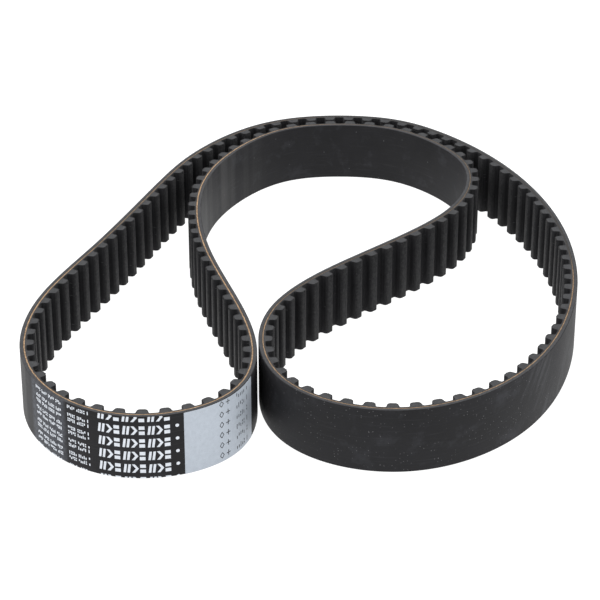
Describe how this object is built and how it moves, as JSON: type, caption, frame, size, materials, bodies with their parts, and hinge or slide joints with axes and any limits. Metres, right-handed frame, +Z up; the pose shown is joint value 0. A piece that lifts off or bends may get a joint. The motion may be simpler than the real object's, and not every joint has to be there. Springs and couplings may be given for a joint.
{
  "type": "toothed timing belt",
  "caption": "Endless toothed rubber timing belt standing on its edge, laid in a loose double loop that can be opened.",
  "frame": {"origin": "middle of the belt's outline in plan, on the surface it stands on", "axes": "+Z up along the belt's width, -Y towards the two front loops, +X towards the right loop"},
  "size_m": [0.2362, 0.2987, 0.028],
  "materials": {
    "backing": "matt moulded rubber",
    "cords": "dry twisted cord, cut edge",
    "teeth": "matt rubber, cut edge lighter",
    "facing": "fine woven nylon",
    "white_print": "thin printed ink",
    "silver_print": "thin printed ink"
  },
  "bodies": {
    "fixed_runs": {"inner_bay_backing": "backing", "inner_bay_cords": "cords", "inner_bay_teeth": "teeth", "inner_bay_facing": "facing", "back_right_run_backing": "backing", "back_right_run_cords": "cords", "back_right_run_teeth": "teeth", "back_right_run_facing": "facing"},
    "left_loop_body": {"left_loop_backing": "backing", "left_loop_cords": "cords", "left_loop_teeth": "teeth", "left_loop_facing": "facing", "print_white_marking": "white_print", "print_silver_panel": "silver_print"},
    "right_neck_body": {"right_neck_backing": "backing", "right_neck_cords": "cords", "right_neck_teeth": "teeth", "right_neck_facing": "facing"},
    "right_loop_inner_body": {"right_loop_inner_backing": "backing", "right_loop_inner_cords": "cords", "right_loop_inner_teeth": "teeth", "right_loop_inner_facing": "facing"},
    "right_loop_front_body": {"right_loop_front_backing": "backing", "right_loop_front_cords": "cords", "right_loop_front_teeth": "teeth", "right_loop_front_facing": "facing"},
    "right_loop_outer_body": {"right_loop_outer_backing": "backing", "right_loop_outer_cords": "cords", "right_loop_outer_teeth": "teeth", "right_loop_outer_facing": "facing"},
    "back_left_run_body": {"back_left_run_backing": "backing", "back_left_run_cords": "cords", "back_left_run_teeth": "teeth", "back_left_run_facing": "facing"},
    "left_run_upper_body": {"left_run_upper_backing": "backing", "left_run_upper_cords": "cords", "left_run_upper_teeth": "teeth", "left_run_upper_facing": "facing"},
    "left_run_lower_body": {"left_run_lower_backing": "backing", "left_run_lower_cords": "cords", "left_run_lower_teeth": "teeth", "left_run_lower_facing": "facing"}
  },
  "joints": [
    {"name": "left_loop_flex", "type": "hinge", "parent": "fixed_runs", "child": "left_loop_body", "pos_m": [-0.04735, 0.01172, 0.014], "axis": [0, 0, 1], "range_deg": [-18, 0], "stiffness_Nm_per_rad": 0.02},
    {"name": "left_run_lower_flex", "type": "hinge", "parent": "left_loop_body", "child": "left_run_lower_body", "pos_m": [-0.11612, -0.07487, 0.014], "axis": [0, 0, 1], "range_deg": [0, 18], "stiffness_Nm_per_rad": 0.02},
    {"name": "back_left_run_flex", "type": "hinge", "parent": "fixed_runs", "child": "back_left_run_body", "pos_m": [-0.0021, 0.14665, 0.014], "axis": [0, 0, 1], "range_deg": [-18, 0], "stiffness_Nm_per_rad": 0.02},
    {"name": "left_run_upper_flex", "type": "hinge", "parent": "back_left_run_body", "child": "left_run_upper_body", "pos_m": [-0.07087, 0.06007, 0.014], "axis": [0, 0, 1], "range_deg": [0, 18], "stiffness_Nm_per_rad": 0.02},
    {"name": "right_neck_flex", "type": "hinge", "parent": "fixed_runs", "child": "right_neck_body", "pos_m": [0.01774, -0.01554, 0.014], "axis": [0, 0, 1], "range_deg": [0, 20], "stiffness_Nm_per_rad": 0.02},
    {"name": "right_loop_inner_flex", "type": "hinge", "parent": "right_neck_body", "child": "right_loop_inner_body", "pos_m": [-0.01697, -0.07139, 0.014], "axis": [0, 0, 1], "range_deg": [-20, 0], "stiffness_Nm_per_rad": 0.02},
    {"name": "right_loop_outer_flex", "type": "hinge", "parent": "fixed_runs", "child": "right_loop_outer_body", "pos_m": [0.10714, -0.07153, 0.014], "axis": [0, 0, 1], "range_deg": [0, 20], "stiffness_Nm_per_rad": 0.02},
    {"name": "right_loop_front_flex", "type": "hinge", "parent": "right_loop_outer_body", "child": "right_loop_front_body", "pos_m": [0.07242, -0.12738, 0.014], "axis": [0, 0, 1], "range_deg": [-20, 0], "stiffness_Nm_per_rad": 0.02}
  ],
  "couplings": [
    {"joint": "left_run_lower_flex", "follows": "left_loop_flex", "ratio": -1},
    {"joint": "back_left_run_flex", "follows": "left_loop_flex", "ratio": 1},
    {"joint": "left_run_upper_flex", "follows": "left_loop_flex", "ratio": -1},
    {"joint": "right_loop_inner_flex", "follows": "right_neck_flex", "ratio": -1},
    {"joint": "right_loop_outer_flex", "follows": "right_neck_flex", "ratio": 1},
    {"joint": "right_loop_front_flex", "follows": "right_neck_flex", "ratio": -1}
  ]
}
